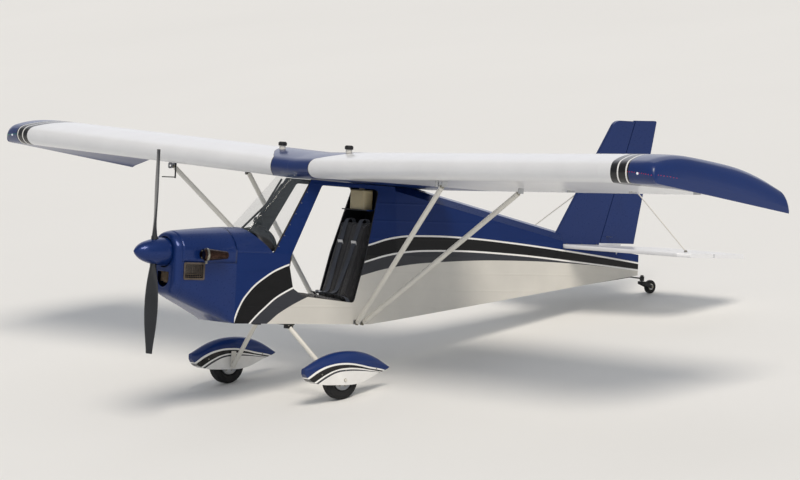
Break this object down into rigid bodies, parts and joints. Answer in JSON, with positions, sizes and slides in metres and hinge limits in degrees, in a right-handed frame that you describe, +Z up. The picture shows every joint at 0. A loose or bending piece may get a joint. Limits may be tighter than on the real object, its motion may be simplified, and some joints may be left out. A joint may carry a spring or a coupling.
{
  "type": "tailwheel microlight aircraft",
  "caption": "High-wing, strut-braced single-seat microlight on a fixed tailwheel gear, with wheel pods, drooped wing tips and open cabin sides.",
  "frame": {"origin": "on the floor under the middle of the parked aircraft's length, on its centre plane", "axes": "+X forward, +Y to the left, +Z up; the aircraft stands nose-up on its main wheels and tailwheel"},
  "size_m": [5.2155, 7.74, 1.9755],
  "materials": {
    "white_covering": "painted aircraft covering, satin",
    "blue_paint": "metallic blue, glossy",
    "two_tone_covering": "painted covering, blue over white with stripes",
    "cream_tube": "cream paint",
    "bare_metal": "brushed",
    "dark_metal": "dark oxide",
    "engine_metal": "cast",
    "black_composite": "satin",
    "tyre_rubber": "worn",
    "clear_sheet": "clear",
    "seat_fabric": "woven, padded",
    "pod_paint": "blue over white with stripes, glossy",
    "tank_plastic": "translucent",
    "cabin_panel": "painted dark"
  },
  "bodies": {
    "airframe": {"aft_fuselage": "two_tone_covering", "airspeed_probe": "dark_metal", "cabin_brace": "dark_metal", "coaming": "blue_paint", "control_stick": "dark_metal", "cowl_lower": "blue_paint", "cowl_upper": "blue_paint", "cowl_vent": "bare_metal", "engine_block": "engine_metal", "exhaust_stub": "bare_metal", "fin": "blue_paint", "firewall": "bare_metal", "floor_panel": "cabin_panel", "fuel_filler_left": "black_composite", "fuel_filler_right": "black_composite", "gear_bracket": "bare_metal", "gear_leg_left": "cream_tube", "gear_leg_right": "cream_tube", "header_tank": "tank_plastic", "instrument_panel": "black_composite", "nose_bowl": "blue_paint", "rear_bulkhead": "cabin_panel", "seat_back": "seat_fabric", "seat_cushion": "seat_fabric", "side_panel_left": "two_tone_covering", "side_panel_right": "two_tone_covering", "stabiliser": "white_covering", "strut_front_left": "cream_tube", "strut_front_right": "cream_tube", "strut_lugs_left": "bare_metal", "strut_lugs_right": "bare_metal", "strut_rear_left": "cream_tube", "strut_rear_right": "cream_tube", "tail_brace_left": "cream_tube", "tail_brace_right": "cream_tube", "tail_spring": "dark_metal", "turtle_deck": "blue_paint", "upper_frame_left": "blue_paint", "upper_frame_right": "blue_paint", "wheel_pod_left": "pod_paint", "wheel_pod_right": "pod_paint", "windscreen": "clear_sheet", "wing_centre": "blue_paint", "wing_left": "white_covering", "wing_right": "white_covering", "wing_tip_left": "blue_paint", "wing_tip_right": "blue_paint"},
    "propeller": {"propeller": "black_composite", "spinner": "blue_paint"},
    "wheel_left": {"tyre_left": "tyre_rubber", "hub_left": "bare_metal"},
    "wheel_right": {"tyre_right": "tyre_rubber", "hub_right": "bare_metal"},
    "tail_fork": {"tail_fork": "dark_metal"},
    "tailwheel": {"tail_tyre": "tyre_rubber", "tail_hub": "bare_metal"},
    "rudder": {"rudder": "blue_paint"},
    "elevator": {"elevator": "white_covering"},
    "aileron_left": {"aileron_left": "white_covering"},
    "aileron_right": {"aileron_right": "white_covering"}
  },
  "joints": [
    {"name": "propeller_spin", "type": "hinge", "parent": "airframe", "child": "propeller", "pos_m": [2.43644, 0, 1.24925], "axis": [0.9794, 0, 0.202], "continuous": true},
    {"name": "wheel_left_roll", "type": "hinge", "parent": "airframe", "child": "wheel_left", "pos_m": [1.40934, 0.688, 0.145], "axis": [0, 1, 0], "continuous": true},
    {"name": "wheel_right_roll", "type": "hinge", "parent": "airframe", "child": "wheel_right", "pos_m": [1.40934, -0.688, 0.145], "axis": [0, 1, 0], "continuous": true},
    {"name": "rudder_swing", "type": "hinge", "parent": "airframe", "child": "rudder", "pos_m": [-2.0445, 0, 0.83246], "axis": [-0.4964, 0, 0.8681], "range_deg": [-25, 25]},
    {"name": "tail_steer", "type": "hinge", "parent": "airframe", "child": "tail_fork", "pos_m": [-2.29609, 0, 0.13526], "axis": [-0.202, 0, 0.9794], "range_deg": [-25, 25]},
    {"name": "tailwheel_roll", "type": "hinge", "parent": "tail_fork", "child": "tailwheel", "pos_m": [-2.37327, 0, 0.054], "axis": [0, 1, 0], "continuous": true},
    {"name": "elevator_swing", "type": "hinge", "parent": "airframe", "child": "elevator", "pos_m": [-1.93691, 0, 0.46308], "axis": [0, 1, 0], "range_deg": [-20, 25]},
    {"name": "aileron_left_swing", "type": "hinge", "parent": "airframe", "child": "aileron_left", "pos_m": [0.01768, 1, 1.35765], "axis": [-0.0071, 0.9994, 0.0342], "range_deg": [-20, 20]},
    {"name": "aileron_right_swing", "type": "hinge", "parent": "airframe", "child": "aileron_right", "pos_m": [0.01768, -1, 1.35765], "axis": [0.0071, 0.9994, -0.0342], "range_deg": [-20, 20]}
  ],
  "couplings": [
    {"joint": "tail_steer", "follows": "rudder_swing", "ratio": 1},
    {"joint": "aileron_right_swing", "follows": "aileron_left_swing", "ratio": -1}
  ]
}
